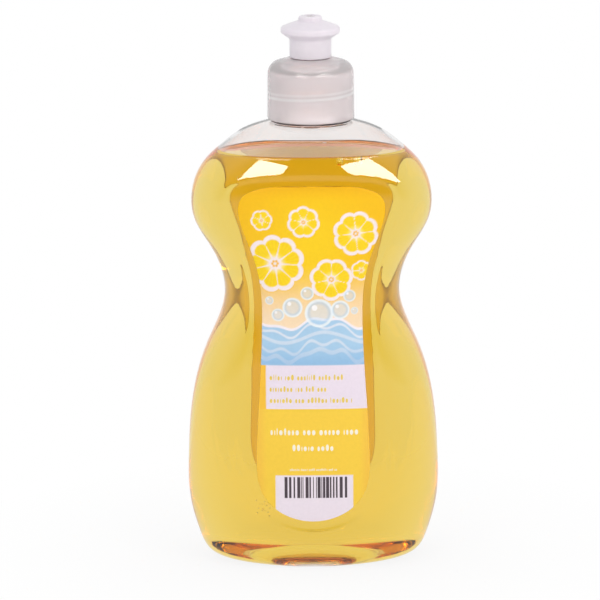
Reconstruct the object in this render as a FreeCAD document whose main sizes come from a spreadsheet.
"""Dish soap bottle, 500 ml: a blown clear bottle with a screwed push-pull closure.

Millimetres, +Z up. The origin is under the middle of the base, the front label
faces -Y and the width runs along X. Every size below is a named cell of the
sheet, and each piece is written to parts/NODE.step.
"""
import FreeCAD
import Part
import Sketcher
import math
import os
from FreeCAD import Vector

os.makedirs("parts", exist_ok=True)
doc = FreeCAD.newDocument("dish_soap_bottle")
sheet = doc.addObject("Spreadsheet::Sheet", "sizes")

# Levels of the blown body, from the ring that it stands on to the root of the neck:
# height, half width (X), half depth (Y) and fullness (2 is an ellipse, more is squarer)
LEVELS = {
    "foot": (0.0, 29.8, 20.5, 2.0),
    "heel_low": (0.9, 34.2, 22.4, 2.25),
    "heel_mid": (3.6, 39.4, 24.2, 2.6),
    "heel_top": (9.5, 42.6, 25.3, 2.55),
    "hip_low": (22.0, 45.9, 25.8, 2.6),
    "hip": (40.0, 46.4, 26.0, 2.65),
    "hip_high": (58.5, 45.0, 25.8, 2.65),
    "thigh": (79.5, 39.6, 24.9, 2.6),
    "waist": (100.5, 32.3, 23.5, 2.5),
    "rib": (117.5, 36.9, 23.8, 2.55),
    "chest": (129.0, 43.3, 24.2, 2.6),
    "shoulder": (139.0, 43.9, 24.1, 2.6),
    "shoulder_high": (148.5, 40.0, 22.6, 2.5),
    "slope": (155.5, 33.0, 20.3, 2.3),
    "slope_high": (160.9, 25.7, 17.6, 2.1),
    "root": (164.2, 15.2, 14.8, 2.0),
}

# Outlines seen from the front, the same on the back: height and half width of one side's points
PANEL = {
    "panel_crown": (146.2, 0.0),
    "panel_brow": (145.3, 18.5),
    "panel_corner": (142.3, 28.6),
    "panel_side": (117.5, 24.4),
    "panel_waist": (93.5, 21.4),
    "panel_hip": (49.5, 26.9),
    "panel_heel": (26.5, 21.3),
    "panel_foot": (16.2, 0.0),
}
LABEL = {
    "label_crown": (143.8, 0.0),
    "label_brow": (142.9, 19.0),
    "label_corner": (140.2, 24.8),
    "label_side": (118.5, 21.7),
    "label_waist": (94.5, 18.3),
    "label_hip": (45.5, 20.7),
    "label_heel": (28.0, 18.0),
    "label_foot": (18.8, 0.0),
}

# All other sizes
SIZES = {
    # walls of the blown body
    "body_wall": 0.6,
    "base_wall": 1.2,
    "panel_recess": 0.5,
    "panel_wall_shift": 1.0,
    "panel_reach": 45.0,
    "push_up_half_width": 24.0,
    "push_up_half_depth": 12.0,
    "push_up_rise": 3.4,
    # neck finish with its screw thread
    "neck_radius": 12.55,
    "bore_radius": 10.7,
    "neck_length": 17.5,
    "neck_flare": 2.1,
    "root_sink": 1.0,
    "root_inset": 0.5,
    "root_lip": 0.1,
    "bore_lead": 0.9,
    "bore_overlap": 2.0,
    "rim_round": 0.5,
    "thread_pitch": 3.175,
    "thread_turns": 1.6,
    "thread_rise": 1.15,
    "thread_foot_width": 1.9,
    "thread_crest_width": 0.9,
    "thread_lead_in": 9.3,
    "thread_sink": 0.3,
    "crest_clearance": 0.4,
    # contents
    "fill_height": 153.0,
    # label
    "label_thickness": 0.18,
    "label_glue": 0.12,
    # closure: the skirt and dome
    "thread_clearance": 0.4,
    "cap_wall": 1.85,
    "cap_taper": 0.25,
    "skirt_gap": 1.1,
    "dome_rise": 2.7,
    "cap_round": 4.6,
    "crown_rise": 2.1,
    "crown_width": 1.9,
    "skirt_rim_round": 0.45,
    "seal_thickness": 1.0,
    "seal_width": 3.8,
    "seal_clearance": 0.5,
    "seal_overhang": 0.3,
    "pocket_rise": 3.0,
    # closure: the spout tube and its plug
    "tube_radius": 6.0,
    "tube_wall": 1.1,
    "tube_length": 8.5,
    "tube_chamfer": 0.3,
    "bead_rise": 0.45,
    "bead_height": 0.9,
    "plug_radius": 1.93,
    "plug_step_width": 0.57,
    "plug_neck_length": 1.2,
    "plug_drop": 0.3,
    "web_width": 1.2,
    "web_height": 2.8,
    "web_sink": 0.4,
    # nozzle
    "slide_clearance": 0.1,
    "rest_gap": 0.2,
    "nozzle_wall": 1.56,
    "nozzle_neck": 7.0,
    "flange_width": 3.14,
    "flange_under": 2.1,
    "flange_edge": 2.0,
    "flange_fall": 1.7,
    "flange_run": 4.4,
    "tip_step": 0.7,
    "tip_radius": 4.3,
    "tip_height": 1.7,
    "tip_round": 1.1,
    "plug_clearance": 0.05,
    "throat_gap": 0.9,
    "throat_taper": 3.4,
    "lip_height": 0.8,
    "flange_round": 0.9,
    "under_round": 1.4,
}

# Heights and radii that several pieces share, as sums of the sizes above
NECK_TOP = "root_height + neck_length"
SEAL_TOP = NECK_TOP + " + seal_thickness"
THREAD_START = "root_height + thread_lead_in"
CAP_BORE = "neck_radius + thread_rise + thread_clearance"
CAP_RADIUS = CAP_BORE + " + cap_wall"
DOME_CORNER = SEAL_TOP + " + dome_rise"
CROWN = DOME_CORNER + " + crown_rise"
POCKET_TOP = SEAL_TOP + " + pocket_rise"
TUBE_TOP = CROWN + " + tube_length"
NOZZLE_FOOT = CROWN + " + rest_gap"
NOZZLE_BORE = "tube_radius + bead_rise + slide_clearance"
NOZZLE_RADIUS = "tube_radius + slide_clearance + nozzle_wall"
FLANGE_LOW = NOZZLE_FOOT + " + nozzle_neck + flange_under"
FLANGE_HIGH = FLANGE_LOW + " + flange_edge"
TIP_FOOT = FLANGE_HIGH + " + flange_fall + tip_step"
NOZZLE_TOP = TIP_FOOT + " + tip_height"
THROAT_LOW = TUBE_TOP + " + throat_gap"
THROAT_HIGH = THROAT_LOW + " + throat_taper"

POINTS_AROUND = 24


def fill_sheet():
    """Write every size to its own named cell."""
    rows = dict(SIZES)
    for name, (height, half_width, half_depth, fullness) in LEVELS.items():
        rows[name + "_height"] = height
        rows[name + "_half_width"] = half_width
        rows[name + "_half_depth"] = half_depth
        rows[name + "_fullness"] = fullness
    for name, (height, half_width) in list(PANEL.items()) + list(LABEL.items()):
        rows[name + "_height"] = height
        rows[name + "_half_width"] = half_width
    for number, (name, value) in enumerate(rows.items(), start=1):
        sheet.set("A%d" % number, name)
        sheet.set("B%d" % number, str(value))
        sheet.setAlias("B%d" % number, name)
    doc.recompute()


def reckon(formula):
    """Value of a sum of sizes, such as 'neck_radius + thread_rise'."""
    total = 0.0
    sign = 1
    for word in formula.split():
        if word in ("+", "-"):
            sign = 1 if word == "+" else -1
        elif word[0].isalpha():
            total += sign * getattr(sheet, word)
        else:
            total += sign * float(word)
    return total


def bound(formula):
    """The same sum as an expression of the sheet."""
    words = formula.split()
    return " ".join("sizes." + word if word[0].isalpha() else word for word in words)


def origin_part(body, role):
    """A base plane or axis of a body."""
    return [item for item in body.Origin.OriginFeatures if item.Role == role][0]


def profile(body, name, corners):
    """Closed outline in the XZ plane. Each corner is bound to its two sums of sizes."""
    sketch = body.newObject("Sketcher::SketchObject", name)
    sketch.AttachmentSupport = (origin_part(body, "XZ_Plane"), [""])
    sketch.MapMode = "FlatFace"
    places = [Vector(reckon(across), reckon(up), 0) for across, up in corners]
    count = len(places)
    for index in range(count):
        sketch.addGeometry(Part.LineSegment(places[index], places[(index + 1) % count]))
    for index in range(count):
        sketch.addConstraint(Sketcher.Constraint("Coincident", index, 2, (index + 1) % count, 1))
    for index, (across, up) in enumerate(corners):
        if across == "0":
            sketch.addConstraint(Sketcher.Constraint("PointOnObject", index, 1, -2))
        else:
            bind_distance(sketch, "DistanceX", index, places[index].x, across)
        bind_distance(sketch, "DistanceY", index, places[index].y, up)
    return sketch


def bind_distance(sketch, kind, index, value, formula):
    """Distance of a corner from the origin of its sketch."""
    number = sketch.addConstraint(Sketcher.Constraint(kind, -1, 1, index, 1, value))
    sketch.setExpression("Constraints[%d]" % number, bound(formula))


def revolve(body, sketch, name):
    """Full turn of an outline about the vertical axis."""
    turned = body.newObject("PartDesign::Revolution", name)
    turned.Profile = sketch
    turned.ReferenceAxis = (sketch, ["V_Axis"])
    turned.Angle = 360
    sketch.Visibility = False
    return turned


def thread(body, name, root, crest, start):
    """One screw ridge: a trapezoid led up a helix, from root radius to crest radius."""
    foot = "thread_foot_width"
    half_foot = reckon(foot) / 2
    half_crest = reckon("thread_crest_width") / 2
    sketch = body.newObject("Sketcher::SketchObject", name + "_outline")
    sketch.AttachmentSupport = (origin_part(body, "XZ_Plane"), [""])
    sketch.MapMode = "FlatFace"
    places = [
        Vector(root, start - half_foot, 0),
        Vector(crest, start - half_crest, 0),
        Vector(crest, start + half_crest, 0),
        Vector(root, start + half_foot, 0),
    ]
    for index in range(4):
        sketch.addGeometry(Part.LineSegment(places[index], places[(index + 1) % 4]))
    for index in range(4):
        sketch.addConstraint(Sketcher.Constraint("Coincident", index, 2, (index + 1) % 4, 1))
    for index in range(4):
        sketch.addConstraint(Sketcher.Constraint("Block", index))
    ridge = body.newObject("PartDesign::AdditiveHelix", name)
    ridge.Profile = sketch
    ridge.ReferenceAxis = (sketch, ["V_Axis"])
    ridge.Mode = "pitch-turns-angle"
    ridge.setExpression("Pitch", "sizes.thread_pitch")
    ridge.setExpression("Turns", "sizes.thread_turns")
    ridge.LeftHanded = False
    ridge.Reversed = False
    sketch.Visibility = False
    return ridge


def oval(half_width, half_depth, fullness, height):
    """One level of the body: a superellipse as a single closed curve."""
    points = []
    for step in range(POINTS_AROUND):
        turn = 2 * math.pi * step / POINTS_AROUND
        across, along = math.cos(turn), math.sin(turn)
        reach = (abs(across) ** fullness + abs(along) ** fullness) ** (-1 / fullness)
        points.append(Vector(half_width * across * reach, half_depth * along * reach, height))
    curve = Part.BSplineCurve()
    curve.interpolate(Points=points, PeriodicFlag=True)
    return Part.Wire(curve.toShape())


def level(name):
    """Height, half width, half depth and fullness of a named level."""
    return [getattr(sheet, name + end) for end in ("_height", "_half_width", "_half_depth", "_fullness")]


def outer_skin(depth_shift):
    """Solid inside the outer skin, with its front and back moved by depth_shift."""
    wires = []
    for name in LEVELS:
        height, half_width, half_depth, fullness = level(name)
        wires.append(oval(half_width, half_depth + depth_shift, fullness, height))
    return Part.makeLoft(wires, True, False)


def slant(low, high, column):
    """Growth of a half width or half depth per millimetre of height."""
    return (high[column] - low[column]) / (high[0] - low[0])


def inner_skin(depth_shift):
    """Solid inside the inner skin: each level drawn in by the wall, measured level."""
    wall = sheet.body_wall
    names = list(LEVELS)
    wires = []
    for place, name in enumerate(names[:-1]):
        height, half_width, half_depth, fullness = level(name)
        low = level(names[max(place - 1, 0)])
        high = level(names[place + 1])
        width_wall = wall * math.hypot(1, slant(low, high, 1))
        depth_wall = wall * math.hypot(1, slant(low, high, 2))
        if name == "heel_low":
            continue
        if name == "foot":
            height = sheet.base_wall
            width_wall = 0
            depth_wall = 0
        wires.append(oval(half_width - width_wall, half_depth - depth_wall + depth_shift,
                          fullness, height))
    lead_in = sheet.root_height + sheet.bore_lead
    wires.append(oval(sheet.bore_radius, sheet.bore_radius, 2.0, lead_in))
    return Part.makeLoft(wires, True, False)


def front_prism(names, grow, reach):
    """Block behind an outline seen from the front, from the middle plane out by reach."""
    right = []
    last = len(names) - 1
    for place, name in enumerate(names):
        across, up = getattr(sheet, name + "_half_width"), getattr(sheet, name + "_height")
        if 0 < place < last:
            across += grow
        if place < 2:
            up += grow
        if place > last - 2:
            up -= grow
        right.append(Vector(across, 0, up))
    left = [Vector(-point.x, 0, point.z) for point in reversed(right[1:-1])]
    curve = Part.BSplineCurve()
    curve.interpolate(Points=right + left, PeriodicFlag=True)
    return Part.Face(Part.Wire(curve.toShape())).extrude(Vector(0, reach, 0))


def feature(name, shape):
    """Keep a computed shape as an object of the document."""
    item = doc.addObject("Part::Feature", name)
    item.Shape = shape
    item.Placement = FreeCAD.Placement()
    return item


def combine(kind, name, base, tool):
    """Cut or common of two objects."""
    result = doc.addObject(kind, name)
    result.Base = base
    result.Tool = tool
    return result


def fuse(name, items):
    """Union of objects."""
    result = doc.addObject("Part::MultiFuse", name)
    result.Shapes = items
    return result


def ellipsoid(name, grow):
    """Dome of the base push-up, grown by the base wall for its inner side."""
    dome = doc.addObject("Part::Ellipsoid", name)
    dome.Angle1 = -90
    dome.Angle2 = 90
    dome.Angle3 = 360
    dome.setExpression("Radius1", "sizes.push_up_rise" + grow)
    dome.setExpression("Radius2", "sizes.push_up_half_width" + grow)
    dome.setExpression("Radius3", "sizes.push_up_half_depth" + grow)
    return dome


fill_sheet()

# Neck: a plain tube with a flared root, then the screw ridge round it
neck = doc.addObject("PartDesign::Body", "neck")
neck_outline = profile(neck, "neck_outline", [
    ("bore_radius", "root_height - root_sink"),
    ("root_half_width - root_inset", "root_height - root_inset"),
    ("root_half_width - root_sink", "root_height + root_lip"),
    ("neck_radius", "root_height + neck_flare"),
    ("neck_radius", NECK_TOP + " - rim_round"),
    ("neck_radius - rim_round", NECK_TOP),
    ("bore_radius", NECK_TOP),
])
revolve(neck, neck_outline, "neck_tube")
thread(neck, "neck_thread", reckon("neck_radius - thread_sink"),
       reckon("neck_radius + thread_rise"), reckon(THREAD_START))

# Body: outer skin with front and back panels let in, less the inner skin with the same
panel_names = list(PANEL)
label_names = list(LABEL)
recess = sheet.panel_recess
shift = sheet.panel_wall_shift
reach = sheet.panel_reach
outer = feature("outer_skin", outer_skin(0))
outer_panel_skin = feature("outer_panel_skin", outer_skin(-recess))
inner = feature("inner_skin", inner_skin(0))
inner_panel_skin = feature("inner_panel_skin", inner_skin(-recess))
front_block = feature("front_block", front_prism(panel_names, 0, -reach))
back_block = feature("back_block", front_prism(panel_names, 0, reach))
blocks = fuse("panel_blocks", [front_block, back_block])
front_inner_block = feature("front_inner_block", front_prism(panel_names, shift, -reach))
back_inner_block = feature("back_inner_block", front_prism(panel_names, shift, reach))
inner_blocks = fuse("inner_panel_blocks", [front_inner_block, back_inner_block])
panel_cut = combine("Part::Cut", "panel_cut", blocks, outer_panel_skin)
inner_panel_cut = combine("Part::Cut", "inner_panel_cut", inner_blocks, inner_panel_skin)
paneled_outer = combine("Part::Cut", "paneled_outer", outer, panel_cut)
paneled_inner = combine("Part::Cut", "paneled_inner", inner, inner_panel_cut)
push_up = ellipsoid("push_up", "")
push_up_inside = ellipsoid("push_up_inside", " + sizes.base_wall")
hollow = combine("Part::Cut", "hollow", paneled_inner, push_up_inside)
bore = doc.addObject("Part::Cylinder", "bore")
bore.setExpression("Radius", "sizes.bore_radius")
bore.setExpression("Height", "sizes.neck_length + 2 * sizes.bore_overlap")
bore.setExpression("Placement.Base.z", "sizes.root_height - sizes.bore_overlap")
cavity = fuse("cavity", [hollow, bore])
blown = fuse("blown", [paneled_outer, neck])
blown_with_base = combine("Part::Cut", "blown_with_base", blown, push_up)
bottle = combine("Part::Cut", "bottle", blown_with_base, cavity)

# Contents: all of the hollow up to the fill height
fill_block = doc.addObject("Part::Box", "fill_block")
fill_block.setExpression("Length", "4 * sizes.hip_half_width")
fill_block.setExpression("Width", "4 * sizes.hip_half_depth")
fill_block.setExpression("Height", "sizes.fill_height")
fill_block.setExpression("Placement.Base.x", "-2 * sizes.hip_half_width")
fill_block.setExpression("Placement.Base.y", "-2 * sizes.hip_half_depth")
dish_liquid = combine("Part::Common", "dish_liquid", hollow, fill_block)

# Labels: thin films on the floors of the two panels, with room for their glue
glue_skin = feature("glue_skin", outer_skin(-recess + sheet.label_glue))
face_skin = feature("face_skin", outer_skin(-recess + sheet.label_glue + sheet.label_thickness))


def sticker(name, way):
    """Film between the glue and its face, inside the label's outline, on one side of the body."""
    block = feature(name + "_block", front_prism(label_names, 0, way))
    backed = combine("Part::Common", name + "_backed", block, face_skin)
    return combine("Part::Cut", name, backed, glue_skin)


front_label = sticker("front_label", -reach)
back_label = sticker("back_label", reach)

# Seal: a flat ring between the rim of the neck and the closure
seal = doc.addObject("PartDesign::Body", "sealing_ring")
SEAL_RADIUS = CAP_BORE + " - seal_clearance"
SEAL_BORE = SEAL_RADIUS + " - seal_width"
seal_outline = profile(seal, "seal_outline", [
    (SEAL_BORE, NECK_TOP),
    (SEAL_RADIUS, NECK_TOP),
    (SEAL_RADIUS, SEAL_TOP),
    (SEAL_BORE, SEAL_TOP),
])
revolve(seal, seal_outline, "seal_ring")

# Closure: skirt, dome, seat for the seal and spout tube in one outline
cap = doc.addObject("PartDesign::Body", "cap")
cap_outline = profile(cap, "cap_outline", [
    (CAP_BORE, "root_height + skirt_gap"),
    (CAP_RADIUS, "root_height + skirt_gap"),
    (CAP_RADIUS + " - cap_taper", DOME_CORNER),
    ("tube_radius + crown_width", CROWN),
    ("tube_radius", CROWN),
    ("tube_radius", TUBE_TOP + " - bead_height - bead_rise"),
    ("tube_radius + bead_rise", TUBE_TOP + " - bead_height"),
    ("tube_radius + bead_rise", TUBE_TOP + " - tube_chamfer"),
    ("tube_radius + bead_rise - tube_chamfer", TUBE_TOP),
    ("tube_radius - tube_wall", TUBE_TOP),
    ("tube_radius - tube_wall", POCKET_TOP),
    (SEAL_BORE + " - seal_overhang", POCKET_TOP),
    (SEAL_BORE + " - seal_overhang", SEAL_TOP),
    (CAP_BORE, SEAL_TOP),
])
cap_shell = revolve(cap, cap_outline, "cap_shell")
thread(cap, "cap_thread", reckon(CAP_BORE + " + thread_sink"),
       reckon("neck_radius + crest_clearance"), reckon(THREAD_START) - reckon("thread_pitch") / 2)
plug_outline = profile(cap, "plug_outline", [
    ("0", POCKET_TOP),
    ("plug_radius + plug_step_width", POCKET_TOP),
    ("plug_radius + plug_step_width", THROAT_LOW),
    ("plug_radius", THROAT_LOW + " + plug_neck_length"),
    ("plug_radius", NOZZLE_TOP + " - plug_drop"),
    ("0", NOZZLE_TOP + " - plug_drop"),
])


def webs_and_plug(body, outline):
    """Three webs carry the plug in the middle of the spout tube."""
    sketch = body.newObject("Sketcher::SketchObject", "web_outline")
    sketch.AttachmentSupport = (origin_part(body, "XZ_Plane"), [""])
    sketch.MapMode = "FlatFace"
    left = reckon("plug_radius + plug_step_width - web_sink")
    right = reckon("tube_radius - tube_wall + web_sink")
    low = reckon(POCKET_TOP)
    high = reckon(POCKET_TOP + " + web_height")
    corners = [Vector(left, low, 0), Vector(right, low, 0), Vector(right, high, 0), Vector(left, high, 0)]
    for index in range(4):
        sketch.addGeometry(Part.LineSegment(corners[index], corners[(index + 1) % 4]))
    for index in range(4):
        sketch.addConstraint(Sketcher.Constraint("Coincident", index, 2, (index + 1) % 4, 1))
        sketch.addConstraint(Sketcher.Constraint("Block", index))
    web = body.newObject("PartDesign::Pad", "web")
    web.Profile = sketch
    web.SideType = "Symmetric"
    web.setExpression("Length", "sizes.web_width")
    sketch.Visibility = False
    body.Tip = web
    doc.recompute()
    ring = body.newObject("PartDesign::PolarPattern", "webs")
    ring.Originals = [web]
    ring.Axis = (origin_part(body, "Z_Axis"), [""])
    ring.Angle = 360
    ring.Occurrences = 3
    body.Tip = ring
    doc.recompute()
    return revolve(body, outline, "plug")


webs_and_plug(cap, plug_outline)

# Nozzle: slides on the spout tube; its orifice closes on the plug
nozzle = doc.addObject("PartDesign::Body", "nozzle")
nozzle_outline = profile(nozzle, "nozzle_outline", [
    ("tube_radius + slide_clearance", NOZZLE_FOOT),
    (NOZZLE_RADIUS, NOZZLE_FOOT),
    (NOZZLE_RADIUS, NOZZLE_FOOT + " + nozzle_neck"),
    (NOZZLE_RADIUS + " + flange_width", FLANGE_LOW),
    (NOZZLE_RADIUS + " + flange_width", FLANGE_HIGH),
    (NOZZLE_RADIUS + " + flange_width - flange_run", FLANGE_HIGH + " + flange_fall"),
    ("tip_radius", TIP_FOOT),
    ("tip_radius", NOZZLE_TOP),
    ("plug_radius + plug_clearance", NOZZLE_TOP),
    ("plug_radius + plug_clearance", THROAT_HIGH),
    (NOZZLE_BORE, THROAT_LOW),
    (NOZZLE_BORE, NOZZLE_FOOT + " + lip_height + bead_rise"),
    ("tube_radius + slide_clearance", NOZZLE_FOOT + " + lip_height"),
])
revolve(nozzle, nozzle_outline, "nozzle_shell")
doc.recompute()


def circle_edges(shape, radius, height):
    """Names of the full circles of a given radius at a given height."""
    names = []
    for number, edge in enumerate(shape.Edges, start=1):
        if type(edge.Curve).__name__ != "Circle":
            continue
        near = abs(edge.Curve.Radius - radius) < 0.01 and abs(edge.Curve.Center.z - height) < 0.01
        if near and abs(edge.Curve.Axis.z) > 0.99:
            names.append("Edge%d" % number)
    return names


def fillet(body, name, rings, radius):
    """Round the named rings of a body."""
    base = body.Tip
    names = []
    for ring_radius, ring_height in rings:
        names += circle_edges(base.Shape, reckon(ring_radius), reckon(ring_height))
    rounded = body.newObject("PartDesign::Fillet", name)
    rounded.Base = (base, names)
    rounded.setExpression("Radius", bound(radius))
    doc.recompute()
    return rounded


fillet(cap, "dome_round", [(CAP_RADIUS + " - cap_taper", DOME_CORNER)], "cap_round")
fillet(cap, "skirt_rim_round", [(CAP_RADIUS, "root_height + skirt_gap")], "skirt_rim_round")
FLANGE_RADIUS = NOZZLE_RADIUS + " + flange_width"
fillet(nozzle, "flange_round", [(FLANGE_RADIUS, FLANGE_LOW), (FLANGE_RADIUS, FLANGE_HIGH)],
       "flange_round")
fillet(nozzle, "tip_round", [("tip_radius", NOZZLE_TOP)], "tip_round")
fillet(nozzle, "under_round", [(NOZZLE_RADIUS, NOZZLE_FOOT + " + nozzle_neck")], "under_round")
doc.recompute()

# Check every object, then write one file for each piece
for item in doc.Objects:
    if "Invalid" in item.State or "Error" in item.State:
        raise RuntimeError("object %s is %s" % (item.Name, item.State))
    shape = getattr(item, "Shape", None)
    if shape is not None and item.TypeId != "Sketcher::SketchObject" and hasattr(shape, "isValid"):
        if item.TypeId.startswith(("Part::", "PartDesign::")) and (shape.isNull() or not shape.isValid()):
            raise RuntimeError("shape of %s is not valid" % item.Name)

PIECES = {
    "bottle": bottle,
    "dish_liquid": dish_liquid,
    "front_label": front_label,
    "back_label": back_label,
    "sealing_ring": seal,
    "cap": cap,
    "nozzle": nozzle,
}
for name, item in PIECES.items():
    item.Label = name
    item.Placement = FreeCAD.Placement()
    solids = item.Shape.Solids
    box = item.Shape.BoundBox
    print(name, "solids", len(solids), "volume %.1f" % item.Shape.Volume,
          "x %.2f %.2f y %.2f %.2f z %.2f %.2f" % (box.XMin, box.XMax, box.YMin, box.YMax, box.ZMin, box.ZMax))
    if len(solids) != 1:
        raise RuntimeError("piece %s is not one solid" % name)
    item.Shape.exportStep("parts/%s.step" % name)
